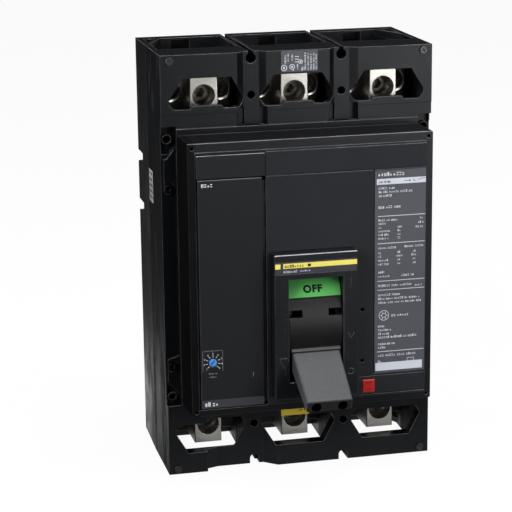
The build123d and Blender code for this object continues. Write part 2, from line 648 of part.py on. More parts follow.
# ------------------------------------------------------------- current sensors
with BuildPart() as current_sensors:
    for pole in POLES:
        mid_block(pole, 28, FLOOR, 46, -98, -70)
    fillet(current_sensors.edges().filter_by(Axis.Z), 3)
    for pole in POLES:
        mid_block(pole, 17.2, *STRAP_SLOT, -100, -66, CUT)
        # winding waist between two end cheeks
        mid_block(pole, 29, 30, 47, -93, -75, CUT)
        rod_x(pole - 24, pole + 24, (33, -84), 10.5)
        block(pole - 27, pole - 22, 28, 46, -96, -72)
        block(pole + 22, pole + 27, 28, 46, -96, -72)
save(current_sensors, "current_sensors")

# ------------------------------------------------------------------- trip unit
with BuildPart() as trip_module:
    block(-86, -41, D_DECK, 138.5, -96, 72)
    round_y(trip_module, 2)
    # front recess with four posts
    block(-83, -44, 134, 139, -92, 68, CUT)
    for x in (-79, -48):
        for z in (-84, 60):
            rod_y(x, z, 133.5, 139.6, 3.2)
    block(-41, -38.6, 96, 120, -40, 20)
save(trip_module, "trip_module")

BOARD_FRONT = 141.2
with BuildPart() as circuit_board:
    block(-84, -43, 139.6, BOARD_FRONT, -92, 68)
    round_y(circuit_board, 1.5)
    # components
    block(-80, -66, BOARD_FRONT, 142.4, 30, 44)
    block(-62, -48, BOARD_FRONT, 142.6, 44, 60)
    block(-60, -46, BOARD_FRONT, 142.5, -20, 6)
    for k in range(5):
        block(-80 + 5 * k, -77 + 5 * k, BOARD_FRONT, 142.2, 8, 14)
    # seat of the dial
    rod_y(*DIAL, BOARD_FRONT, 142.2, 4.2)
    rod_y(*DIAL, 140, 143, 1.25, CUT)
save(circuit_board, "circuit_board")

with BuildPart() as dial:
    rod_y(*DIAL, 142.6, 146.9, 2.82)
    rod_y(*DIAL, 140.2, 142.6, 1.18)
    # slot with an arrow head
    with BuildSketch(front(146.2)):
        with Locations(DIAL):
            Rectangle(4.2, 0.75, rotation=45)
    extrude(amount=1, mode=CUT)
    with BuildSketch(front(146.2)):
        with Locations((DIAL[0] - 1.1, DIAL[1] - 1.1)):
            RegularPolygon(0.9, 3, rotation=225)
    extrude(amount=1, mode=CUT)
save(dial, "dial")

with BuildPart() as trip_solenoid:
    block(52, 84, D_DECK, 110, -48, -12)
    block(55, 81, 110, 134, -46, -14)
    round_y(trip_solenoid, 2)
    # plunger and its collar
    rod_z(68, 120, -52.5, -44, 3.2)
    rod_z(68, 120, -47.8, -45, 6.5)
save(trip_solenoid, "trip_solenoid")

TRIP_D, TRIP_Z = TRIP
with BuildPart() as trip_shaft:
    rod_x(25.3, 88, TRIP, TRIP_R)
    rod_x(22.9, 25.3, TRIP, 2.95)
    # arm down behind the button
    prism_x([(TRIP_D - 3, TRIP_Z + 1), (TRIP_D + 3, TRIP_Z + 1), (121.9, -72), (121.9, -95),
             (117.4, -95), (116, -72)], 40.6, 46.6)
    # tab below the solenoid plunger
    prism_x([(TRIP_D - 3, TRIP_Z), (TRIP_D + 3, TRIP_Z), (123.5, -55.6), (116.5, -55.6)],
            63, 73)
    rod_x(83, 86, TRIP, 6)
save(trip_shaft, "trip_shaft")

with BuildPart() as trip_button:
    block(38.8, 48.5, 136, 147.0, -95.7, -85.6)
    chamfer(front_rim(trip_button), 0.5)
    rod_y(*BUTTON, 122.3, 136, 2.6)
    block(36.6, 50.7, 136, 138, -97.8, -83.5)
    # finger grooves
    for dz in (-1.95, 0, 1.95):
        z = BUTTON[1] + dz
        block(41.4, 45.9, 146.6, 148, z - 0.35, z + 0.35, CUT)
save(trip_button, "trip_button")

# ------------------------------------------------------------------- mechanism
UPPER_LENGTH, LOWER_LENGTH = 16.0, 16.8


def find_knee(top, bottom):
    """Joint of the two links, on the side away from the crossbar."""
    dd, dz = bottom[0] - top[0], bottom[1] - top[1]
    span = math.hypot(dd, dz)
    along = (UPPER_LENGTH ** 2 - LOWER_LENGTH ** 2 + span * span) / (2 * span)
    off = math.sqrt(max(UPPER_LENGTH ** 2 - along * along, 0.0))
    ud, uz = dd / span, dz / span
    return top[0] + along * ud - off * uz, top[1] + along * uz + off * ud


def link(p, q, width, x0, x1, hole_p=0.0, hole_q=0.0):
    """Flat bar with round ends from p to q, both (d, z), with optional holes."""
    length = math.hypot(q[0] - p[0], q[1] - p[1])
    angle = math.degrees(math.atan2(q[1] - p[1], -(q[0] - p[0])))
    centre = (-(p[0] + q[0]) / 2, (p[1] + q[1]) / 2, 0)
    with BuildSketch(side(x0)) as sk:
        with Locations(Location(centre, (0, 0, angle))):
            SlotCenterToCenter(length, width)
        if hole_p:
            with Locations((-p[0], p[1])):
                Circle(hole_p, mode=CUT)
            with Locations((-q[0], q[1])):
                Circle(hole_q, mode=CUT)
    extrude(sk.sketch, amount=x1 - x0)


KNEE = find_knee(LINK_PIN, DRIVE_PIN)
PLATE_IN, PLATE_OUT = 22.8, 24.8         # faces of the mechanism side plates
SIDE_PLATE = [(62, -62), (62, 18), (92, 26), (112, 22), (128, 0), (128, -78), (112, -88),
              (92, -84)]                 # (d, z)

with BuildPart() as mech_side_plates:
    for s in (-1, 1):
        x = min(s * PLATE_IN, s * PLATE_OUT)
        prism_x(SIDE_PLATE, x, x + 2.0)
        # foot on the deck, notched at the handle shaft
        block(s * PLATE_IN, s * 36.0, D_DECK, D_DECK + 2, -70, 10)
        block(s * PLATE_OUT, s * 36.8, D_DECK - 1, D_DECK + 3, PIVOT[1] - 8, PIVOT[1] + 8, CUT)
        for axis, radius in ((PIVOT, SHAFT_R + 0.05), (CRADLE_PIN, 3.0), (CROSSBAR, 12.6),
                             (TRIP, 3.02)):
            rod_x(x - 1, x + 3, axis, radius, CUT)
    # stay bars between the plates
    rod_x(-PLATE_IN, PLATE_IN, (100, -80), 3.0)
    rod_x(-PLATE_IN, PLATE_IN, (66, -56), 3.0)
save(mech_side_plates, "mech_side_plates")

with BuildPart() as cradle_pin:
    rod_x(-26.2, 26.2, CRADLE_PIN, 2.97)
save(cradle_pin, "cradle_pin")

CRADLE_PROFILE = [                       # (d, z)
    (74.5, 3), (79, 1.5), (86.5, 1.8), (89.0, 5.0), (93.2, 5.2), (96.5, 3.6), (98.8, 1.4),
    (103.6, -4.6), (109, -6), (111.5, 8), (108, 14.5), (102, 14.5), (80, 10.5), (75, 10),
]
with BuildPart() as cradle:
    prism_x(CRADLE_PROFILE, -4, 4)
    rod_x(-6, 6, CRADLE_PIN, 3.9)
    rod_x(-8, 8, CRADLE_PIN, 3.03, CUT)
    rod_x(-10.0, 10.0, LINK_PIN, 2.0)
save(cradle, "cradle")

with BuildPart() as upper_link:
    for x in (-7.2, 5.2):
        link(LINK_PIN, KNEE, 10.2, x, x + 2.0, 2.05, 3.6)
save(upper_link, "upper_link")

with BuildPart() as lower_link:
    for x in (-9.6, 7.6):
        link(KNEE, DRIVE_PIN, 7.0, x, x + 2.0)
    rod_x(-9.6, 9.6, KNEE, 2.0)
    rod_x(-10, 10, DRIVE_PIN, 2.55, CUT)
save(lower_link, "lower_link")

with BuildPart() as handle_shaft:
    rod_x(-26.5, 26.5, PIVOT, SHAFT_R)
    rod_x(-27.5, -26.5, PIVOT, 6.0)
    rod_x(26.5, 27.5, PIVOT, 6.0)
save(handle_shaft, "handle_shaft")

YOKE_ANGLE = -23.7                       # direction of the yoke at rest
YOKE_PIN = polar(PIVOT, 46, YOKE_ANGLE)  # the springs hook onto this pin
PIVOT_SKETCH = pivot_pt(0, 0)            # the pivot in side-sketch coordinates
with BuildPart() as handle_yoke:
    for x in (-14.4, 12.0):
        with BuildSketch(side(x)):
            with Locations(PIVOT_SKETCH):
                Circle(9)
            with BuildLine():
                Polyline(pivot_pt(7, YOKE_ANGLE + 80), pivot_pt(56, YOKE_ANGLE + 7),
                         pivot_pt(56, YOKE_ANGLE - 7), pivot_pt(7, YOKE_ANGLE - 80), close=True)
            make_face()
            with Locations(PIVOT_SKETCH):
                Circle(SHAFT_R + 0.05, mode=CUT)
        extrude(amount=2.4)
    arc_band(54.5, 57.2, YOKE_ANGLE - 7, YOKE_ANGLE + 7, -14.4, 14.4)
    rod_x(-14.4, 14.4, YOKE_PIN, 2.0)
save(handle_yoke, "handle_yoke")

SPRING_X = (-4.4, 4.4)
SPRING_BORE = 2.3


def spring_plane(x, distance):
    """Plane across the spring axis, at a distance from the yoke pin toward the knee."""
    dd, dz = KNEE[0] - YOKE_PIN[0], KNEE[1] - YOKE_PIN[1]
    ud, uz = dd / math.hypot(dd, dz), dz / math.hypot(dd, dz)
    origin = (x, -YOKE_PIN[0] - ud * distance, YOKE_PIN[1] + uz * distance)
    return Plane(origin=origin, z_dir=(0, -ud, uz), x_dir=(1, 0, 0))


with BuildPart() as main_springs:
    for x in SPRING_X:
        # core tube with a closed upper end
        with BuildSketch(spring_plane(x, 3.2)):
            Circle(3.4)
            Circle(SPRING_BORE, mode=CUT)
        extrude(amount=24.0)
        with BuildSketch(spring_plane(x, 3.2)):
            Circle(3.4)
        extrude(amount=1.0)
        # hook round the yoke pin
        with BuildSketch(side(x - 0.6)):
            with Locations((-YOKE_PIN[0], YOKE_PIN[1])):
                Circle(3.6)
                Circle(2.02, mode=CUT)
        extrude(amount=1.2)
    # rings that stand for the coils
    for x in SPRING_X:
        for k in range(11):
            with BuildSketch(spring_plane(x, 4.4 + 2.05 * k)):
                Circle(3.9)
                Circle(SPRING_BORE, mode=CUT)
            extrude(amount=1.1)
save(main_springs, "main_springs")

# ---------------------------------------------------------------------- handle
DRUM_HALF = 20.5
FLAG_HALF = 20.4
TIP_TILT = math.radians(29)              # lever axis below the forward direction

with BuildPart() as handle:
    prism_x([(147, -50.8), (195.2, -83.0), (192.7, -91.9), (147, -69.2)], -19, 19)
    # narrows slightly toward the tip
    prism_z([(-18.6, 146), (-17.35, 196), (17.35, 196), (18.6, 146)], -110, -30,
            Mode.INTERSECT)
    fillet(handle.edges().filter_by(lambda e: e.center().Y < -150), 1.6)
    # two blind holes along the lever
    tip = Plane(origin=(0, -195.5, -88.5), x_dir=(1, 0, 0),
                z_dir=(0, -math.cos(TIP_TILT), -math.sin(TIP_TILT)))
    with BuildSketch(tip):
        with Locations((-10.0, -0.2), (10.0, -0.2)):
            Circle(3.6)
    extrude(amount=-19, mode=CUT)
    # collar at the root
    prism_x([(151.5, -52.6), (156.9, -55.6), (155.8, -58.0), (150.4, -55.0)], -18.9, 18.9)
    # drum with two cheeks
    arc_band(DRUM_R - 4, DRUM_R, -60, 46, -DRUM_HALF, DRUM_HALF)
    for x in (-DRUM_HALF, DRUM_HALF - 3.5):
        with BuildSketch(side(x)):
            with BuildLine():
                Polyline(pivot_pt(8, 100), pivot_pt(61, 44), pivot_pt(61, 20),
                         pivot_pt(61, -5), pivot_pt(61, -31), pivot_pt(8, -88), close=True)
            make_face()
            with Locations(PIVOT_SKETCH):
                Circle(9)
                Circle(HUB_HOLE, mode=CUT)
        extrude(amount=3.5)
    # pockets at both sides of the drum
    for x0, x1 in ((-21, -10), (10, 21)):
        block(x0, x1, 148, 158, -29.9, -24.4, CUT)
    # groove above the pockets
    arc_band(DRUM_R - 0.6, DRUM_R + 1, 20.2, 21.4, -20.6, 20.6, mode=CUT)
save(handle, "handle")

# coloured fields on the drum: name, start angle, end angle
for name, a0, a1 in (("off_flag", 22.1, 39.5), ("on_flag", -59, -46.5)):
    with BuildPart() as flag:
        arc_band(DRUM_R, DRUM_R + 0.25, a0, a1, -FLAG_HALF, FLAG_HALF)
    save(flag, name)

with BuildPart() as handle_shutter:
    arc_band(57.6, 59.3, -72, -37, -20.3, 20.3)
    for x in (-16.7, 15.0):
        with BuildSketch(side(x)):
            with BuildLine():
                Polyline(pivot_pt(6, 20), pivot_pt(58.4, -42), pivot_pt(58.4, -66),
                         pivot_pt(6, -130), close=True)
            make_face()
            with Locations(PIVOT_SKETCH):
                Circle(8.5)
                Circle(HUB_HOLE, mode=CUT)
        extrude(amount=1.7)
save(handle_shutter, "handle_shutter")
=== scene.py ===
"""A moulded-case circuit breaker standing upright on a pale studio floor.

This script gives them their materials and adds the printing. Metres, +Z up, +X to
the right; the front faces -Y. Printed pieces are laid out in millimetres as (x,
out, z), where out is the distance towards -Y.
"""
import bpy
import bmesh
import math
import random
from mathutils import Vector, Matrix


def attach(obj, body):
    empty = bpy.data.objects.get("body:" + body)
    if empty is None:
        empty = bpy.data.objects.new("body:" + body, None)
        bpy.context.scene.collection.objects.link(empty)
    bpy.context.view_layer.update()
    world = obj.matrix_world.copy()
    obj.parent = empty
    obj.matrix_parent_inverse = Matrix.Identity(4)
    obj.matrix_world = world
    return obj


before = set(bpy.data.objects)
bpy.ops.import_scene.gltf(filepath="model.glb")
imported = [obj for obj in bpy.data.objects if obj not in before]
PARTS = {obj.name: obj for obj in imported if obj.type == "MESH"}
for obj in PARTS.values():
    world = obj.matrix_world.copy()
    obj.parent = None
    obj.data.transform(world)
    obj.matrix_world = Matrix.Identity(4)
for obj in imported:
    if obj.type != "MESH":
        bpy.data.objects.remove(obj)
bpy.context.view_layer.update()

MM = 0.001
HANDLE_PIVOT = (92.0, -39.5)    # out and z of the handle axis, mm

# How far out the printed faces stand, mm
NAMEPLATE_FACE = 146.3
TRIP_UNIT_FACE = 146.5
SURROUND_FACE = 157.1
END_LABEL_FACE = 106.2
BUTTON_FACE = 147.0
DIAL_MARK_BACK = 146.2
BAND_RADIUS = 64.27             # handle bands, from the pivot
SIDE_LABEL_X = -105.0
FLOOR_Z = -0.1636               # metres

PRINT = 0.06                    # usual thickness of printing
THIN_PRINT = 0.05
DASH_PRINT = 0.04


# ============================================================ colours
def grey(value):
    return (value, value, value, 1)


WHITE = grey(1)
BLACK = grey(0)
COOL_TINT = (0.93, 0.955, 1.0, 1.0)


def srgb(*levels):
    """Linear colour from 0-255 sRGB levels."""
    linear = []
    for level in levels:
        v = level / 255.0
        linear.append(v / 12.92 if v <= 0.04045 else ((v + 0.055) / 1.055) ** 2.4)
    return tuple(linear) + (1.0,)


def shade(color, factor):
    return tuple(c * factor for c in color[:3]) + (1,)


def lighter(rgb, step):
    return [min(255, c + step) for c in rgb]


# ======================================================== node graphs
class Graph:
    """Builds a node tree; every argument may be a socket or a plain value."""

    def __init__(self, tree, output_kind):
        self.tree = tree
        tree.nodes.clear()
        self.output = self.node(output_kind)
        self.coords = self.node("ShaderNodeTexCoord")

    def feed(self, socket, value):
        if isinstance(value, bpy.types.NodeSocket):
            self.tree.links.new(value, socket)
        else:
            socket.default_value = value

    def node(self, kind, inputs=None, **properties):
        node = self.tree.nodes.new(kind)
        for key, value in properties.items():
            setattr(node, key, value)
        for key, value in (inputs or {}).items():
            self.feed(node.inputs[key], value)
        return node

    def split(self, vector):
        return self.node("ShaderNodeSeparateXYZ", {0: vector}).outputs

    def geometry(self, output):
        return self.node("ShaderNodeNewGeometry").outputs[output]

    def math(self, operation, a, b=0.0, clamp=False):
        node = self.node("ShaderNodeMath", {0: a, 1: b}, operation=operation, use_clamp=clamp)
        return node.outputs[0]

    def add(self, a, b):
        return self.math("ADD", a, b)

    def multiply(self, a, b):
        return self.math("MULTIPLY", a, b)

    def negate(self, value):
        return self.multiply(value, -1.0)

    def invert(self, value):
        return self.math("SUBTRACT", 1.0, value, clamp=True)

    def linear(self, value, gain, offset):
        return self.add(self.multiply(value, gain), offset)

    def raise_by(self, base, mask, gain, clamp=False):
        return self.math("ADD", base, self.multiply(mask, gain), clamp)

    def distance(self, a, b):
        return self.math("SQRT", self.add(self.multiply(a, a), self.multiply(b, b)))

    def ramp(self, value, low, high, start=BLACK, end=WHITE):
        node = self.node("ShaderNodeValToRGB", {0: value})
        first, last = node.color_ramp.elements
        first.position, last.position = low, high
        first.color, last.color = start, end
        return node.outputs[0]

    def mix(self, factor, a, b):
        node = self.node("ShaderNodeMix", data_type="RGBA")
        for index, value in ((0, factor), (6, a), (7, b)):
            self.feed(node.inputs[index], value)
        return node.outputs[2]

    def tint(self, color, mask, amount, other):
        return self.mix(self.multiply(mask, amount), color, other)

    def cloudy(self, noise, dark, light):
        return self.mix(self.ramp(noise, low=0.3, high=0.7), dark, light)

    def mix_shader(self, factor, a, b):
        return self.node("ShaderNodeMixShader", {0: factor, 1: a, 2: b}).outputs[0]


class Surface(Graph):
    """A material around one principled shader, with noises in object space."""

    def __init__(self, name):
        self.material = bpy.data.materials.new(name)
        self.material.use_nodes = True
        super().__init__(self.material.node_tree, "ShaderNodeOutputMaterial")
        self.shader = self.node("ShaderNodeBsdfPrincipled")
        self.feed(self.output.inputs[0], self.shader.outputs[0])
        self.position = self.coords.outputs["Object"]

    def set(self, name, value):
        self.feed(self.shader.inputs[name], value)

    def finish(self, color, rough, specular=None, normal=None):
        self.set("Base Color", color)
        self.set("Roughness", rough)
        if specular is not None:
            self.set("Specular IOR Level", specular)
        if normal is not None:
            self.set("Normal", normal)
        return self.material

    def noise(self, scale, detail=3.0, rough=0.55, vector=None, distortion=0.0):
        return self.node("ShaderNodeTexNoise", {
            "Scale": scale, "Detail": detail, "Roughness": rough,
            "Distortion": distortion, "Vector": vector or self.position}).outputs["Fac"]

    def stretch(self, x, y, z):
        node = self.node("ShaderNodeMapping", {"Scale": (x, y, z), "Vector": self.position})
        return node.outputs["Vector"]

    def bevel(self, radius):
        return self.node("ShaderNodeBevel", {"Radius": radius}, samples=4).outputs[0]

    def bump(self, height, strength, distance, normal):
        return self.node("ShaderNodeBump", {
            "Strength": strength, "Distance": distance,
            "Height": height, "Normal": normal}).outputs[0]

    def edge_turn(self, radius):
        """Rounded normal, true normal, and how far the two differ."""
        rounded = self.bevel(radius)
        normal = self.geometry("Normal")
        dot = self.node("ShaderNodeVectorMath", {0: rounded, 1: normal},
                        operation="DOT_PRODUCT")
        return rounded, normal, self.invert(dot.outputs["Value"])

    def edge(self, radius):
        """Mask of convex and concave edges."""
        return self.ramp(self.edge_turn(radius)[2], low=0.02, high=0.35)

    def shine(self, radius, amount, rim=0.0):
        """Painted highlights: thin light lines on outward edges, strongest where they face up
        or left.
        """
        rounded, normal, turn = self.edge_turn(radius)
        edges = self.ramp(turn, low=0.015, high=0.2)
        occlusion = self.node("ShaderNodeAmbientOcclusion", {"Distance": 0.0025},
                              samples=4, only_local=True)
        outward = self.ramp(occlusion.outputs["AO"], low=0.72, high=0.95)
        x, y, z = self.split(rounded)
        facing = self.linear(self.ramp(z, low=0.12, high=0.5), gain=0.8, offset=0.14)
        leftward = self.ramp(self.negate(x), low=0.3, high=0.6)
        facing = self.raise_by(facing, leftward, gain=0.3, clamp=True)
        patches = self.ramp(self.noise(scale=52.0, detail=4.0), low=0.3, high=0.62)
        patches = self.linear(patches, gain=0.6, offset=0.4)
        mask = self.multiply(self.multiply(edges, outward), self.multiply(facing, patches))
        if rim > 0:
            # painted highlight on rounded upper rims: faces tilted up and forward
            x, y, z = self.split(normal)
            tilt = self.multiply(self.ramp(z, low=0.2, high=0.5),
                                 self.ramp(self.negate(y), low=0.2, high=0.5))
            mask = self.raise_by(mask, self.multiply(tilt, patches), rim, clamp=True)
        return self.math("MULTIPLY", mask, amount, clamp=True)


# ========================================================== materials
def plastic(name, rgb, rough=0.42, grain=1500.0, grain_height=0.35, edge_wear_and_highlight=0.25,
            fleck_and_highlight_rgb=None, mottle=0.25, bevel=0.0005, edge_radius=0.0006, rim=0.0,
            fleck=0.12):
    """Moulded plastic with fine grain, pale flecks and painted highlights along the edges."""
    g = Surface(name)
    base = srgb(*rgb)
    # the paler colour tints the pale flecks and the painted edge highlights
    worn = srgb(*(fleck_and_highlight_rgb or lighter(rgb, 48)))
    clouds = g.noise(scale=28.0, detail=4.0)
    fine = g.noise(scale=grain, detail=2.0, rough=0.6)
    color = g.cloudy(clouds, shade(base, 1 - mottle), shade(base, 1 + mottle))
    flecks = g.ramp(g.noise(scale=grain * 0.6, detail=1.0), low=0.66, high=0.78)
    color = g.tint(color, flecks, fleck, worn)
    # painted highlights along the outward edges
    color = g.mix(g.shine(edge_radius, edge_wear_and_highlight, rim), color, worn)
    roughness = g.linear(g.noise(scale=45.0, detail=3.0), gain=0.16, offset=rough - 0.08)
    roughness = g.raise_by(roughness, fine, gain=0.08)
    if max(rgb) < 40:
        g.set("Specular Tint", COOL_TINT)
    normal = g.bump(fine, strength=grain_height, distance=0.00006, normal=g.bevel(bevel))
    return g.finish(color, roughness, specular=0.3, normal=normal)


def metal(name, rgb, rough=0.3, brushed=(1, 1, 1), brush_scale=700.0, bump=0.25,
          stain=None, stain_amount=0.3, edge_wear_and_highlight=0.35):
    """Brushed metal; the brushing runs along the axis whose factor is small."""
    g = Surface(name)
    base = srgb(*rgb)
    brush = g.noise(scale=brush_scale, detail=3.0, rough=0.6, vector=g.stretch(*brushed))
    clouds = g.noise(scale=70.0, detail=4.0)
    color = g.mix(g.ramp(brush, low=0.25, high=0.75), shade(base, 0.8), base)
    stain_color = srgb(*(stain or [int(c * 0.6) for c in rgb]))
    color = g.tint(color, g.ramp(clouds, low=0.45, high=0.72), stain_amount, stain_color)
    color = g.tint(color, g.edge(0.0005), edge_wear_and_highlight, srgb(*lighter(rgb, 35)))
    g.set("Metallic", 1.0)
    roughness = g.linear(g.add(brush, clouds), gain=0.14, offset=rough - 0.12)
    normal = g.bump(brush, strength=bump, distance=0.00005, normal=g.bevel(0.0004))
    return g.finish(color, roughness, normal=normal)


def film(name, rgb, rough=0.35, specular=0.4, mottle=0.06, fleck=0.05):
    """Label film or printing ink."""
    g = Surface(name)
    base = srgb(*rgb)
    color = g.cloudy(g.noise(scale=35.0, detail=3.0),
                     shade(base, 1 - mottle), shade(base, 1 + mottle))
    flecks = g.ramp(g.noise(scale=2600.0, detail=1.0), low=0.55, high=0.8)
    color = g.tint(color, flecks, fleck, srgb(*lighter(rgb, 30)))
    roughness = g.linear(g.noise(scale=90.0, detail=2.0), gain=0.14, offset=rough - 0.07)
    normal = g.bump(g.noise(scale=1400.0, detail=2.0), strength=0.12, distance=0.00003,
                    normal=g.bevel(0.0002))
    return g.finish(color, roughness, specular, normal)


def case_material(name, flank_specular, flank_rough):
    """Black shell: satin front faces, scuffed flanks, dull back."""
    g = Surface(name)
    base = srgb(7, 8, 10)
    clouds = g.noise(scale=22.0, detail=5.0, rough=0.6)
    fine = g.noise(scale=1100.0, detail=2.0, rough=0.6)
    color = g.cloudy(clouds, shade(base, 0.7), shade(base, 1.25))
    normal_x, normal_y, _ = g.split(g.geometry("Normal"))
    flank = g.ramp(g.math("ABSOLUTE", normal_x), low=0.7, high=0.95)

    # long upright scuffs on the flanks, more of them low down
    scuffs = g.noise(scale=46.0, detail=6.0, rough=0.68,
                     vector=g.stretch(1.0, 1.0, 0.22), distortion=0.8)
    scuffs = g.ramp(scuffs, low=0.56, high=0.74)
    height = g.split(g.position)[2]
    low_down = g.ramp(g.multiply(height, -4.0), low=0.1, high=0.55)
    fade = g.linear(low_down, gain=0.55, offset=0.12)
    scuffs = g.multiply(g.multiply(scuffs, flank), fade)
    color = g.mix(scuffs, color, srgb(118, 118, 120))

    rubs = g.noise(scale=160.0, detail=5.0, rough=0.7, vector=g.stretch(1, 1, 0.4))
    color = g.tint(color, g.ramp(rubs, low=0.63, high=0.78), 0.16, srgb(95, 95, 98))
    # painted highlights along the outward edges of the shell
    color = g.mix(g.shine(radius=0.0008, amount=0.68), color, srgb(164, 165, 168))
    rear = g.ramp(normal_y, low=0.75, high=0.92)
    color = g.mix(rear, color, g.cloudy(clouds, srgb(25, 26, 28), srgb(34, 35, 37)))

    roughness = g.linear(g.noise(scale=38.0, detail=4.0), gain=0.22, offset=0.25)
    roughness = g.raise_by(roughness, rear, gain=0.25)
    roughness = g.raise_by(roughness, flank, gain=flank_rough)
    dull = g.noise(scale=34.0, detail=6.0, rough=0.66,
                   vector=g.stretch(1, 1, 0.3), distortion=1.2)
    dull = g.multiply(g.ramp(dull, low=0.47, high=0.62), flank)
    roughness = g.raise_by(roughness, dull, gain=0.28)
    roughness = g.raise_by(roughness, scuffs, gain=0.3)

    g.set("Specular Tint", (0.92, 0.95, 1.0, 1.0))
    front_specular = 0.3
    specular = g.linear(flank, gain=flank_specular - front_specular, offset=front_specular)
    waves = g.bump(g.noise(scale=14.0, detail=2.0), strength=0.25, distance=0.0008,
                   normal=g.bevel(0.0005))
    normal = g.bump(fine, strength=0.3, distance=0.00006, normal=waves)
    return g.finish(color, roughness, specular, normal)


def cover_material():
    """Smooth dark rim, finely textured raised panel in the middle."""
    panel_left, panel_out = -0.0352, 0.1457     # metres
    g = Surface("cover_two_finish_black")
    x, y, _ = g.split(g.position)
    inside = g.math("GREATER_THAN", x, panel_left)
    raised = g.multiply(g.math("GREATER_THAN", g.negate(y), panel_out), inside)
    clouds = g.noise(scale=26.0, detail=4.0)
    fine = g.noise(scale=1300.0, detail=2.0, rough=0.6)
    rim = g.cloudy(clouds, srgb(9, 9, 10), srgb(13, 13, 14))
    panel = g.cloudy(clouds, srgb(18, 19, 23), srgb(24, 25, 29))
    flecks = g.ramp(g.noise(scale=780.0, detail=1.0), low=0.62, high=0.76)
    panel = g.tint(panel, flecks, 0.10, srgb(92, 94, 100))
    color = g.mix(raised, rim, panel)
    # painted highlights along the edges and on the rounded upper rims
    color = g.mix(g.shine(radius=0.0008, amount=0.8, rim=0.6), color, srgb(164, 166, 172))
    roughness = g.mix(raised, grey(0.33), grey(0.5))
    roughness = g.raise_by(roughness, g.noise(scale=45.0, detail=3.0), gain=0.1)

    # no highlight on walls that face left, a weak one on the left border
    wall = g.ramp(g.negate(g.split(g.geometry("Normal"))[0]), low=0.6, high=0.9)
    border = g.ramp(g.multiply(x, -10.0), low=0.872, high=0.886)
    border = g.multiply(border, g.invert(wall))
    full, border_loss = 0.32, 0.2
    specular = g.math("SUBTRACT", full, g.multiply(wall, full))
    specular = g.math("SUBTRACT", specular, g.multiply(border, border_loss))
    g.set("Specular Tint", COOL_TINT)
    normal = g.bump(fine, strength=0.4, distance=0.00006, normal=g.bevel(0.0007))
    return g.finish(color, roughness, specular, normal)


def handle_material():
    """Grained grey lever on a smooth black drum, told apart by radius from the pivot."""
    hole_x = 0.010                  # the two holes sit at +-x
    hole_y, hole_z = -0.1954, -0.08867
    hole_up = (-0.4848, 0.8746)     # y, z of the direction across the hole axes
    hole_radius = 0.00368
    lever_radius = 0.08             # painted shade in the holes only beyond this
    tip_direction = (0.0, -0.866, -0.5)

    g = Surface("handle_two_tone")
    x, y, z = g.split(g.position)
    from_pivot_y = g.add(y, HANDLE_PIVOT[0] * MM)
    from_pivot_z = g.math("SUBTRACT", z, HANDLE_PIVOT[1] * MM)
    radius = g.distance(from_pivot_y, from_pivot_z)
    lever = g.ramp(g.multiply(radius, 10.0), low=0.6415, high=0.6445)
    fine = g.noise(scale=1250.0, detail=2.0, rough=0.6)
    soft = g.noise(scale=30.0, detail=4.0)
    edges = g.edge(0.0009)

    lever_color = g.cloudy(soft, srgb(54, 55, 57), srgb(64, 65, 67))
    lever_color = g.tint(lever_color, edges, 0.2, srgb(122, 123, 125))
    flecks = g.ramp(g.noise(scale=1500.0, detail=2.0), low=0.5, high=0.8)
    lever_color = g.tint(lever_color, flecks, 0.4, srgb(104, 105, 108))
    dips = g.ramp(g.noise(scale=1100.0, detail=3.0), low=0.46, high=0.72)
    lever_color = g.tint(lever_color, dips, 0.5, srgb(38, 39, 40))
    drum_color = g.cloudy(soft, srgb(13, 12, 12), srgb(19, 18, 17))
    drum_color = g.tint(drum_color, edges, 0.2, srgb(90, 90, 90))

    # painted shade: the end face, which faces down and forward, is darker than the broad top
    facing = g.node("ShaderNodeVectorMath", {0: g.geometry("Normal"), 1: tip_direction},
                    operation="DOT_PRODUCT")
    tip = g.ramp(facing.outputs["Value"], low=0.4, high=0.7)
    lever_color = g.tint(lever_color, tip, 0.85, srgb(22, 22, 23))

    # painted shade: nearly black inside the two holes
    across = g.math("SUBTRACT", g.math("ABSOLUTE", x), hole_x)
    along = g.add(g.multiply(g.add(y, -hole_y), hole_up[0]),
                  g.multiply(g.add(z, -hole_z), hole_up[1]))
    holes = g.multiply(g.math("LESS_THAN", g.distance(across, along), hole_radius),
                       g.math("GREATER_THAN", radius, lever_radius))
    lever_color = g.mix(holes, lever_color, srgb(4, 4, 4))

    roughness = g.mix(lever, grey(0.36), grey(0.5))
    roughness = g.raise_by(roughness, g.noise(scale=60.0, detail=3.0), gain=0.08)
    specular = g.multiply(g.invert(holes), 0.4)
    normal = g.bump(fine, strength=0.5, distance=0.00008, normal=g.bevel(0.0008))
    return g.finish(g.mix(lever, drum_color, lever_color), roughness, specular, normal)


# ================================================ materials of the CAD
def paint(material, *names):
    for name in names:
        slots = PARTS[name].data.materials
        slots.clear()
        slots.append(material)


def per_pole(*stems):
    """Names of the pieces that exist once for each of the three poles."""
    return [f"{stem}_{pole}" for pole in (1, 2, 3) for stem in stems]


# mouldings
paint(case_material("case_molded_black", flank_specular=0.3, flank_rough=-0.05), "rear_base")
paint(case_material("case_molded_black_mid", flank_specular=0.1, flank_rough=0.08),
      "mid_case")
paint(cover_material(), "front_cover")
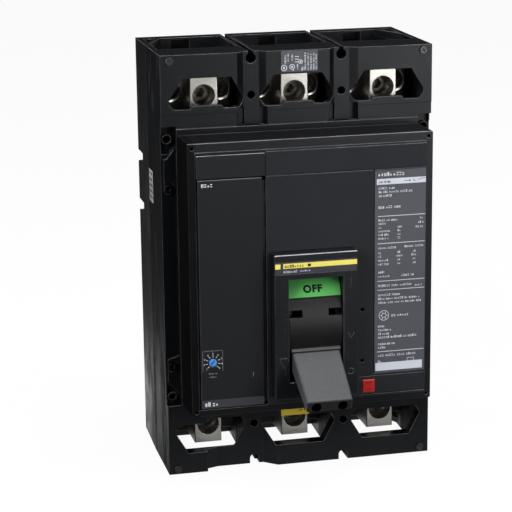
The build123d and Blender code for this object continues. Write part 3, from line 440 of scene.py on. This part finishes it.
# the pale edge colours and rim amounts below paint highlights along the edges
paint(plastic("panel_textured_black", (17, 18, 21), rough=0.5, grain_height=0.5, edge_wear_and_highlight=0.95,
              fleck_and_highlight_rgb=(160, 162, 168), mottle=0.10, edge_radius=0.0008, rim=0.7,
              fleck=0.03),
      "trip_unit_cover", "blank_plate")
paint(plastic("surround_textured_black", (14, 15, 18), rough=0.4, grain=1200,
              grain_height=0.4, edge_wear_and_highlight=1.0, fleck_and_highlight_rgb=(176, 178, 184), mottle=0.10,
              edge_radius=0.0011, rim=1.0),
      "escutcheon")
paint(handle_material(), "handle")
paint(plastic("drum_smooth_black", (13, 12, 12), rough=0.4, grain=2000, grain_height=0.12,
              edge_wear_and_highlight=0.3, mottle=0.15),
      "handle_shutter")
paint(plastic("button_red", (190, 36, 32), rough=0.36, grain=1800, grain_height=0.15,
              edge_wear_and_highlight=0.3, fleck_and_highlight_rgb=(225, 110, 100), mottle=0.12, bevel=0.0003),
      "trip_button")
paint(plastic("dial_blue", (70, 140, 222), rough=0.3, grain=1800, grain_height=0.12,
              edge_wear_and_highlight=0.4, fleck_and_highlight_rgb=(150, 195, 240), mottle=0.1, bevel=0.0003),
      "dial")

# labels and flags
paint(film("label_slate_grey", (76, 78, 84), rough=0.45, specular=0.3),
      "nameplate", "top_label")
paint(film("label_dark_grey", (54, 55, 60), rough=0.45, specular=0.3),
      "rating_strip", "escutcheon_label")
paint(film("label_yellow_deep", (212, 188, 52), rough=0.4), "lower_label")
paint(film("sticker_worn", (150, 150, 146), rough=0.55, mottle=0.35, fleck=0.25),
      "side_label")
paint(film("flag_green", (86, 168, 88), rough=0.36, specular=0.3), "off_flag")
paint(film("flag_red", (190, 40, 34), rough=0.33), "on_flag")

# metalwork
paint(metal("screw_black_oxide", (48, 48, 50), brush_scale=800, edge_wear_and_highlight=0.8), "cover_screws")
paint(metal("screw_worn_black", (74, 74, 77), rough=0.36, brush_scale=800, edge_wear_and_highlight=0.8),
      "corner_screws")
paint(metal("steel_zinc", (172, 173, 176), brushed=(0.2, 1, 1), brush_scale=800),
      "lug_mount_screws", "mech_side_plates", "cradle", "cradle_pin", "upper_link",
      "lower_link", "handle_shaft", "handle_yoke", "main_springs", "deion_plates")
paint(metal("lug_tin_plated", (208, 206, 200), rough=0.34, brushed=(0.25, 1, 1),
            brush_scale=520, bump=0.2, stain=(140, 134, 122), stain_amount=0.35),
      *per_pole("line_lug", "load_lug"))
paint(metal("set_screw_turned", (128, 124, 116), brushed=(1, 0.2, 1), brush_scale=900,
            bump=0.35, stain=(84, 80, 72), stain_amount=0.5),
      "line_set_screws", "load_set_screws")
paint(metal("copper_bare", (196, 128, 92), rough=0.32, brushed=(1, 1, 0.2),
            brush_scale=500, stain=(120, 70, 50), stain_amount=0.4),
      "flex_leads", *per_pole("line_strap", "load_strap", "contact_arm"))
paint(metal("contact_silver", (205, 204, 200), rough=0.36, brush_scale=1200),
      "fixed_contacts", "moving_contacts")

# internal insulation and trip unit
paint(plastic("fibre_red_brown", (128, 62, 44), rough=0.6, grain=700, grain_height=0.4,
              mottle=0.2),
      *per_pole("arc_chute"))
paint(plastic("phenolic_brown", (62, 44, 34), grain=900, grain_height=0.3, mottle=0.2),
      "crossbar", "current_sensors")
paint(plastic("module_black", (38, 38, 40), rough=0.5), "trip_module", "trip_solenoid")
paint(plastic("board_green", (30, 96, 52), rough=0.3, grain=600, grain_height=0.25,
              mottle=0.15),
      "circuit_board")
paint(plastic("nylon_natural", (206, 200, 184), rough=0.45, mottle=0.08), "trip_shaft")

# printing
PURE_WHITE = film("print_white", (236, 238, 244), rough=0.4)
PALE = film("print_pale_grey", (206, 208, 214), rough=0.4)
GREY_LINE = film("print_grey", (134, 136, 142), rough=0.45)
STRIP = film("strip_bluish_white", (203, 207, 218), rough=0.38)
INK = film("print_dark", (20, 21, 23), rough=0.5, specular=0.15)
YELLOW = film("label_yellow", (238, 222, 106), rough=0.36)


# ===================================================== printed pieces
BOX_FACES = ((0, 1, 2, 3), (7, 6, 5, 4), (0, 4, 5, 1), (1, 5, 6, 2), (2, 6, 7, 3), (3, 7, 4, 0))
rng = random.Random(11)     # shared by all small print, so the pieces keep their order


def point(x, out, z):
    """Millimetres in the front layout to metres."""
    return (x * MM, -out * MM, z * MM)


def polar(center, radius, degrees):
    angle = math.radians(degrees)
    return center[0] + radius * math.cos(angle), center[1] + radius * math.sin(angle)


def add_piece(name, bm, material, body="case"):
    mesh = bpy.data.meshes.new(name)
    bmesh.ops.recalc_face_normals(bm, faces=bm.faces)
    bm.to_mesh(mesh)
    bm.free()
    mesh.materials.append(material)
    piece = bpy.data.objects.new(name, mesh)
    bpy.context.scene.collection.objects.link(piece)
    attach(piece, body)


def add_box(bm, corners):
    """Box from eight (x, out, z) corners, four round one face and four round the other."""
    verts = [bm.verts.new(point(*corner)) for corner in corners]
    for face in BOX_FACES:
        bm.faces.new([verts[i] for i in face])


def add_text(bm, words, place, size, depth, bold, spacing=1.0):
    """Extruded text; place turns a text point into (x, out, z)."""
    curve = bpy.data.curves.new("text", "FONT")
    curve.body = words
    curve.size = size
    curve.extrude = depth
    curve.offset = bold
    curve.space_character = spacing
    curve.align_x = "CENTER"
    curve.align_y = "CENTER"
    curve.resolution_u = 6
    source = bpy.data.objects.new("text", curve)
    bpy.context.scene.collection.objects.link(source)
    bpy.context.view_layer.update()
    evaluated = source.evaluated_get(bpy.context.evaluated_depsgraph_get())
    mesh = bpy.data.meshes.new_from_object(evaluated)
    bpy.data.objects.remove(source)
    flat = bmesh.new()
    flat.from_mesh(mesh)
    bpy.data.meshes.remove(mesh)
    bmesh.ops.remove_doubles(flat, verts=flat.verts, dist=1e-4)
    copies = {v: bm.verts.new(point(*place(v.co))) for v in flat.verts}
    for face in flat.faces:
        try:
            bm.faces.new([copies[v] for v in face.verts])
        except ValueError:
            pass    # merging may leave two faces on the same corners; keep one
    flat.free()


def strokes(start, end, height, gap):
    """Meaningless strokes that read as small print from afar.

    Yields (place along the line, rise above its middle, length, breadth).
    """
    at = start
    while at < end - 0.6:
        for _ in range(rng.randint(2, 7)):
            width = height * rng.uniform(0.5, 0.72)
            if at + width > end:
                break
            pattern = rng.random()
            tall = height * (1.0 if rng.random() < 0.3 else 0.76)
            middle = (tall - height) / 2    # short letters stand on the base line
            pen = 0.25 * height
            if pattern < 0.42:      # two bars
                yield at + width * 0.45, middle + tall * 0.3, width * 0.8, pen
                yield at + width * 0.45, middle - tall * 0.32, width * 0.8, pen
            elif pattern < 0.75:    # two stems
                yield at + pen * 0.6, middle, pen, tall
                yield at + width * 0.75, middle, pen, tall
            else:                   # one block
                yield at + width * 0.42, middle - tall * 0.1, width * 0.6, tall * 0.6
            at += width + height * 0.16
        at += height * gap


class Relief:
    """Flat shapes of one thickness on a plane that faces the front."""

    def __init__(self, face, thickness=PRINT):
        self.bm = bmesh.new()
        self.back = face
        self.front = face + thickness

    def box(self, x, z, width, height, turn=0.0):
        c, s = math.cos(math.radians(turn)), math.sin(math.radians(turn))
        corners = []
        for out in (self.back, self.front):
            for side, end in ((-1, -1), (1, -1), (1, 1), (-1, 1)):
                u, v = side * width / 2, end * height / 2
                corners.append((x + u * c - v * s, out, z + u * s + v * c))
        add_box(self.bm, corners)

    def boxes(self, rows):
        for row in rows:
            self.box(*row)

    def ring(self, center, inner, outer, segments=40):
        profile = ((inner, self.back), (outer, self.back),
                   (outer, self.front), (inner, self.front))
        rows = []
        for k in range(segments):
            row = []
            for radius, out in profile:
                x, z = polar(center, radius, 360.0 * k / segments)
                row.append(self.bm.verts.new(point(x, out, z)))
            rows.append(row)
        for k in range(segments):
            here, following = rows[k], rows[(k + 1) % segments]
            for j in range(4):
                n = (j + 1) % 4
                self.bm.faces.new((here[j], here[n], following[n], following[j]))

    def line(self, start, end, z, height, gap=0.5):
        """Small print from left to right."""
        for along, rise, length, breadth in strokes(start, end, height, gap):
            self.box(along, z + rise, length, breadth)

    def column(self, start, end, x, height, gap=0.5):
        """Small print that reads upwards."""
        for along, rise, length, breadth in strokes(start, end, height, gap):
            self.box(x - rise, along, breadth, length)

    def finish(self, name, material, slot="label_pale", body="case"):
        add_piece(name, self.bm, material, body)


# ---------------------------------------------------------- nameplate
# small print: z, start x, end x, nominal letter height
NAMEPLATE_ROWS = (
    (63.0, 51, 64, 1.5), (60.2, 51, 78, 1.5), (57.3, 51, 62, 1.5), (48.6, 51, 68.5, 1.9),
    (38.6, 51, 67, 1.5), (38.9, 83.5, 87.2, 1.4), (36.0, 51, 58, 1.4),
    (35.5, 82, 87.2, 1.4), (33.0, 51, 54, 1.4), (33.0, 66, 70, 1.4), (32.2, 80, 87.2, 1.4),
    (30.2, 51, 60.0, 1.4), (30.2, 66, 69, 1.4), (27.4, 51, 60.0, 1.4), (27.4, 66, 69, 1.4),
    (24.6, 51, 60.0, 1.4), (24.6, 66, 69, 1.4),
    (17.2, 51, 66, 1.5), (17.4, 71.5, 87.2, 1.4), (13.4, 51, 53, 1.4), (13.4, 66, 69, 1.4),
    (13.4, 78, 81, 1.4), (10.6, 51, 54, 1.4), (10.6, 65, 70, 1.4), (10.6, 77, 82, 1.4),
    (7.6, 51, 60, 1.4), (7.6, 66, 69, 1.4), (7.6, 78, 81, 1.4),
    (4.6, 51, 60, 1.4), (4.6, 66, 69, 1.4), (4.6, 78, 81, 1.4),
    (-1.6, 51, 58, 1.5), (-4.8, 51, 60, 1.5), (-4.8, 69, 80, 1.5), (-12.2, 51, 78, 1.5),
    (-13.2, 80, 86, 1.3), (-19.4, 51, 70, 1.5), (-22.4, 51, 85, 1.5),
    (-25.4, 51, 85.5, 1.5), (-35.8, 61.5, 77.5, 1.9), (-44.0, 51, 57, 1.5),
    (-47.0, 51, 62, 1.5), (-50.0, 51, 60, 1.5), (-52.8, 51, 83, 1.6),
    (-58.0, 51, 64.5, 1.5), (-60.9, 51, 58.5, 1.5), (-67.2, 51, 82, 1.7),
    (-72.0, 51, 54, 1.6))
ROW_LETTER_SCALE = 1.18
RULE_HEIGHTS = (41.6, 20.6, -8.6, -15.6, -64.2)
EMBLEM = (55.6, -35.6)      # centre of the double ring
# switch symbol: x, z, width, height, turn in degrees
SYMBOL = (
    (72.8, 68.0, 4.2, 0.35, 0), (75.3, 68.0, 1.9, 0.3, 45), (75.3, 68.0, 1.9, 0.3, -45),
    (78.2, 68.6, 0.3, 1.4, 0), (79.2, 67.6, 2.2, 0.3, 0), (83.2, 68.6, 3.6, 0.35, 20),
    (86.0, 69.2, 2.4, 0.35, 0))


def nameplate_strips():
    relief = Relief(NAMEPLATE_FACE)
    relief.box(68.7, 68.0, width=38.2, height=4.4)
    relief.box(67.6, -76.2, width=37.2, height=6.4)
    relief.finish("nameplate_strips", STRIP)


def nameplate_print():
    relief = Relief(NAMEPLATE_FACE)
    relief.line(50.6, 73.0, z=73.6, height=2.9, gap=0.1)
    for z, start, end, height in NAMEPLATE_ROWS:
        relief.line(start, end, z, height * ROW_LETTER_SCALE)
    for z in RULE_HEIGHTS:
        relief.box(68.9, z, width=37.0, height=0.5)
    # emblem: two rings joined by six spokes
    relief.ring(EMBLEM, inner=3.6, outer=4.0)
    relief.ring(EMBLEM, inner=1.5, outer=1.9)
    for turn in range(0, 360, 60):
        relief.box(*polar(EMBLEM, 2.7, turn), width=1.6, height=0.3, turn=turn)
    # small empty frame near the bottom
    for z in (-70.6, -73.0):
        relief.box(77.0, z, width=5.2, height=0.3)
    for x in (74.4, 79.6):
        relief.box(x, -71.8, width=0.3, height=2.7)
    relief.finish("nameplate_print", PALE)


def nameplate_symbol():
    """Dark print on top of the upper pale strip."""
    relief = Relief(NAMEPLATE_FACE + PRINT)
    relief.line(51.0, 61.5, z=67.9, height=1.6)
    relief.boxes(SYMBOL)
    relief.finish("nameplate_symbol", INK, "case_black")


# ------------------------------------------- trip unit and surround
def trip_unit_print():
    relief = Relief(TRIP_UNIT_FACE)
    relief.line(-83.8, -72.0, z=-94.6, height=3.4, gap=0.3)
    relief.line(-83.8, -73.2, z=73.0, height=2.7, gap=0.3)
    relief.finish("trip_unit_print", PALE)


def surround_label():
    bar = Relief(SURROUND_FACE)
    bar.box(3.0, 11.08, width=56.6, height=3.75)
    bar.box(-29.4, 10.98, width=4.0, height=3.75)
    bar.finish("surround_yellow_bar", YELLOW, "label_yellow")

    dashes = Relief(SURROUND_FACE + PRINT, DASH_PRINT)
    dashes.line(-24.2, -8.6, z=11.0, height=2.3, gap=0.15)
    dashes.box(-5.4, 11.0, width=2.4, height=2.0)
    dashes.finish("surround_dashes", INK, "case_black")

    below = Relief(SURROUND_FACE)
    below.line(-25.0, -13.5, z=6.9, height=1.9, gap=0.2)
    below.line(-12.6, -4.0, z=6.9, height=1.2, gap=0.35)
    below.finish("surround_print", PALE)


# -------------------------------------------- top, lower, side labels
# upright lines: x, start z, end z, letter height
TOP_COLUMNS = (
    (-10.0, 153.6, 161.0, 1.5), (-7.8, 155.0, 161.6, 1.2), (-4.6, 155.5, 161.0, 1.3),
    (-4.0, 148.0, 149.6, 1.6), (-0.6, 149.0, 153.4, 1.2), (3.2, 148.0, 151.6, 1.4),
    (5.3, 148.2, 161.4, 1.3), (7.6, 148.2, 161.4, 1.3), (9.8, 148.2, 160.8, 1.3),
    (11.9, 148.2, 161.4, 1.3), (13.8, 148.6, 160.2, 1.2))
# crossed rings: x, z, outer radius
TOP_RINGS = ((-10.8, 150.4, 2.3), (-4.6, 151.0, 2.1), (1.9, 154.6, 1.7))


def top_label_print():
    relief = Relief(END_LABEL_FACE)
    for x, start, end, height in TOP_COLUMNS:
        relief.column(start, end, x, height)
    for x, z, radius in TOP_RINGS:
        relief.ring((x, z), inner=radius - 0.5, outer=radius)
        for turn in (45, -45):
            relief.box(x, z, width=radius * 0.9, height=0.6, turn=turn)
    for rise in (-2.0, 0.0, 2.0):
        relief.box(-0.9, 156.6 + rise, width=3.2, height=0.55)
    relief.finish("top_label_print", PALE)


def lower_label_print():
    relief = Relief(END_LABEL_FACE)
    relief.line(-1.4, 2.2, z=-119.2, height=2.0)
    relief.line(2.8, 5.6, z=-119.0, height=2.0)
    relief.finish("lower_label_print", INK, "case_black")


def side_label_print():
    """Five rows of dashes on the sticker of the left flank."""
    start, end = 50.5, 61.5     # out
    top_row, pitch, half_height = 65.5, 4.6, 0.9
    thickness = 0.04
    bm = bmesh.new()
    for k in range(5):
        z = top_row - pitch * k
        out = start
        while out < end:
            length = rng.uniform(0.6, 1.6)
            add_box(bm, [(x, out + forward, z + rise)
                         for x in (SIDE_LABEL_X, SIDE_LABEL_X - thickness)
                         for forward, rise in ((0, -half_height), (length, -half_height),
                                               (length, half_height), (0, half_height))])
            out += length + rng.uniform(0.4, 0.9)
    add_piece("side_label_print", bm, INK)


# --------------------------------------------------------------- dial
DIAL = (-77.2, -62.0)       # centre x, z
DIAL_START, DIAL_STEP = 225, 33.75      # degrees; the numbers run clockwise
DIAL_TURNS = [DIAL_START - k * DIAL_STEP for k in range(9)]


def dial_frame():
    relief = Relief(TRIP_UNIT_FACE, THIN_PRINT)
    relief.boxes((      # x, z, width, height
        (-84.4, -52.9, 1.3, 0.24), (-85.0, -60.9, 0.24, 16.2), (-69.8, -61.4, 0.24, 15.2)))
    relief.line(-83.4, -69.6, z=-52.8, height=0.9, gap=0.3)
    relief.line(-80.5, -74.0, z=-70.6, height=1.1)
    relief.line(-80.0, -74.4, z=-73.2, height=1.1)
    relief.finish("dial_frame", GREY_LINE)


def dial_scale():
    relief = Relief(TRIP_UNIT_FACE, THIN_PRINT)
    for turn in DIAL_TURNS:
        relief.box(*polar(DIAL, 4.9, turn), width=1.7, height=0.42, turn=turn)
    for number, turn in enumerate(DIAL_TURNS, start=1):
        x, z = polar(DIAL, 6.9, turn)
        add_text(relief.bm, str(number),
                 lambda co: (x + co.x, TRIP_UNIT_FACE + co.z, z + co.y),
                 size=1.9, depth=0.04, bold=0.03)
    relief.finish("dial_scale", PALE)


def dial_pointer():
    """Dark bar across the dial, painted shade standing in for the slot, with an arrow head at
    its lower left end.
    """
    relief = Relief(DIAL_MARK_BACK, thickness=0.35)
    relief.box(*DIAL, width=4.3, height=0.95, turn=45)
    for k, width in enumerate((0.5, 1.1, 1.7, 2.1)):
        offset = (2.1 - k * 0.34) * 0.707
        relief.box(DIAL[0] - offset, DIAL[1] - offset, width=0.36, height=width, turn=45)
    relief.finish("dial_pointer", INK, "case_black", body="dial")


def test_slot_lip():
    relief = Relief(TRIP_UNIT_FACE)
    relief.box(-46.35, -73.2, width=0.35, height=2.4)
    relief.finish("test_slot_lip", GREY_LINE)


# -------------------------------------------------- handle and button
def band_word(name, words, angle, size, material, bold, spacing, x=0.0):
    """Word wrapped round a handle band; angle in degrees above straight out."""
    def place(co):
        turn = math.radians(angle) + co.y / BAND_RADIUS
        radius = BAND_RADIUS + co.z
        return (x + co.x, HANDLE_PIVOT[0] + radius * math.cos(turn),
                HANDLE_PIVOT[1] + radius * math.sin(turn))

    bm = bmesh.new()
    add_text(bm, words, place, size, PRINT, bold, spacing)
    add_piece(name, bm, material, "handle")


def button_print():
    relief = Relief(BUTTON_FACE, THIN_PRINT)
    for z in (-93.4, -88.0):
        relief.line(41.0, 46.6, z, height=1.1)
    relief.finish("button_print", INK, "case_black", body="button")


nameplate_strips()
nameplate_print()
nameplate_symbol()
trip_unit_print()
surround_label()
top_label_print()
lower_label_print()
side_label_print()
dial_frame()
dial_scale()
dial_pointer()
test_slot_lip()
band_word("off_word", "OFF", angle=27.4, size=7.7, material=INK, bold=0.4, spacing=1.12,
          x=-0.9)
band_word("on_word", "ON", angle=-52.75, size=6.2, material=PURE_WHITE, bold=0.12,
          spacing=1.05)
button_print()


# ============================================================== floor
def floor_glow(g):
    """Light the breaker receives from the floor, by place.

    Bright right behind it, dark just in front, bright again far out in front and
    most of all to the right.
    """
    x, y, _ = g.split(g.geometry("Position"))
    toward_front = g.negate(y)
    rise = g.ramp(g.add(y, 0.1), low=0.04, high=0.2)
    fall = g.math("POWER", g.ramp(y, low=0.12, high=0.40, start=WHITE, end=BLACK), 2.2)
    behind = g.multiply(g.multiply(rise, fall), 0.9)

    far_behind = g.ramp(g.multiply(y, 0.4), low=0.1, high=0.75, start=WHITE, end=grey(0.2))
    far_behind = g.multiply(far_behind, 0.065)
    far_behind = g.multiply(far_behind, g.math("GREATER_THAN", y, 0.2))

    foot = g.ramp(toward_front, low=0.14, high=0.24, start=WHITE, end=BLACK)
    foot = g.multiply(foot, 0.35)
    foot = g.multiply(foot, g.math("LESS_THAN", y, 0.02))

    rightward = g.ramp(g.linear(x, gain=0.5, offset=0.3), low=0.35, high=0.68)
    rightward = g.linear(rightward, gain=2.1, offset=0.35)
    front = g.ramp(g.multiply(toward_front, 0.4), low=0.42, high=0.82)
    front = g.multiply(front, rightward)
    front_end = g.ramp(g.multiply(toward_front, 0.2), low=0.6, high=0.8,
                       start=WHITE, end=BLACK)
    front = g.multiply(front, front_end)

    total = g.add(g.add(behind, far_behind), g.add(foot, front))
    ambient = 0.02
    return g.add(total, ambient)


def floor_material():
    """Almost evenly white to the camera, a shaped glow to everything else."""
    flat_white_share = 0.95
    g = Surface("floor_pale")
    color = g.mix(g.noise(scale=6.0, detail=2.0), grey(0.90), grey(0.93))
    g.finish(color, rough=0.85, specular=0.15)
    white = g.node("ShaderNodeEmission", {0: WHITE, 1: 1.0})
    glow = g.node("ShaderNodeEmission", {0: WHITE, 1: floor_glow(g)})
    camera_ray = g.node("ShaderNodeLightPath").outputs["Is Camera Ray"]
    lit = g.mix_shader(camera_ray, glow.outputs[0], g.shader.outputs[0])
    seen = g.mix_shader(g.multiply(camera_ray, flat_white_share), lit, white.outputs[0])
    g.feed(g.output.inputs[0], seen)
    return g.material


def add_floor():
    bm = bmesh.new()
    bmesh.ops.create_grid(bm, x_segments=2, y_segments=2, size=30.0)
    mesh = bpy.data.meshes.new("floor")
    bm.to_mesh(mesh)
    bm.free()
    floor = bpy.data.objects.new("floor", mesh)
    floor.location = (0, 0, FLOOR_Z)
    bpy.context.scene.collection.objects.link(floor)
    mesh.materials.append(floor_material())


# =================================================== world and lights
def set_world():
    """White to the camera, otherwise a faint fill, weaker towards the back."""
    world = bpy.data.worlds.new("studio")
    bpy.context.scene.world = world
    world.use_nodes = True
    g = Graph(world.node_tree, "ShaderNodeOutputWorld")
    depth = g.split(g.coords.outputs["Generated"])[1]
    strength = g.node("ShaderNodeMapRange", {
        "Value": depth, "From Min": -0.4, "From Max": 0.6,
        "To Min": 0.05, "To Max": 0.035}).outputs[0]
    fill = g.node("ShaderNodeBackground", {0: WHITE, 1: strength})
    white = g.node("ShaderNodeBackground", {0: WHITE, 1: 1.0})
    camera_ray = g.node("ShaderNodeLightPath").outputs["Is Camera Ray"]
    g.feed(g.output.inputs[0],
           g.mix_shader(camera_ray, fill.outputs[0], white.outputs[0]))


FRONT_CENTER = (0, -0.08, 0)
# name, location, target, width, height, power in watts
LIGHTS = (
    ("overhead_box", (0.25, -0.42, 1.25), (0, -0.1, 0.1), 0.75, 0.75, 15.0),
    ("left_front_box", (-1.25, -1.05, 0.75), FRONT_CENTER, 0.7, 1.0, 26.0),
    ("right_front_box", (1.05, -1.9, 0.12), FRONT_CENTER, 0.9, 0.6, 12.5),
    ("right_high_box", (1.3, -1.1, 1.0), FRONT_CENTER, 0.5, 0.7, 9.0),
    ("right_back_fill", (1.7, 0.75, 0.5), (0.1, -0.05, 0.0), 0.8, 0.8, 12.0),
    ("left_back_fill", (-1.75, 0.45, 0.6), (-0.1, -0.05, 0.0), 0.6, 0.8, 6.0),
    ("left_rim", (-1.3, 0.15, 0.9), (-0.1, -0.1, 0.05), 0.25, 0.7, 3.0))


def add_light(name, location, target, width, height, power):
    light = bpy.data.lights.new(name, "AREA")
    light.shape = "RECTANGLE"
    light.size = width
    light.size_y = height
    light.energy = power
    light.color = (1, 1, 1)
    lamp = bpy.data.objects.new(name, light)
    bpy.context.scene.collection.objects.link(lamp)
    lamp.location = location
    direction = Vector(target) - Vector(location)
    lamp.rotation_euler = direction.to_track_quat("-Z", "Y").to_euler()


# ============================================================= camera
CAMERA_PLACE = (-0.3441, -1.4523, 0.3606)
CAMERA_YAW, CAMERA_PITCH, CAMERA_ROLL = -12.97, -14.35, 0.69    # degrees
CAMERA_LENS, SENSOR_WIDTH = 131.5125, 36.0                      # mm


def add_camera():
    data = bpy.data.cameras.new("cam")
    camera = bpy.data.objects.new("cam", data)
    bpy.context.scene.collection.objects.link(camera)
    data.sensor_fit = "HORIZONTAL"
    data.sensor_width = SENSOR_WIDTH
    data.lens = CAMERA_LENS
    data.clip_start, data.clip_end = 0.05, 80.0
    turn = (Matrix.Rotation(math.radians(CAMERA_YAW), 3, "Z")
            @ Matrix.Rotation(math.radians(CAMERA_PITCH), 3, "X")
            @ Matrix.Rotation(math.radians(CAMERA_ROLL), 3, "Y"))
    right, forward, up = turn.col
    # a camera looks along its own -Z
    pose = Matrix((right, up, -forward)).transposed().to_4x4()
    pose.translation = CAMERA_PLACE
    camera.matrix_world = pose
    bpy.context.scene.camera = camera


add_floor()
set_world()
for row in LIGHTS:
    add_light(*row)
add_camera()
bpy.context.scene.view_settings.view_transform = "Standard"
bpy.context.scene.view_settings.look = "None"
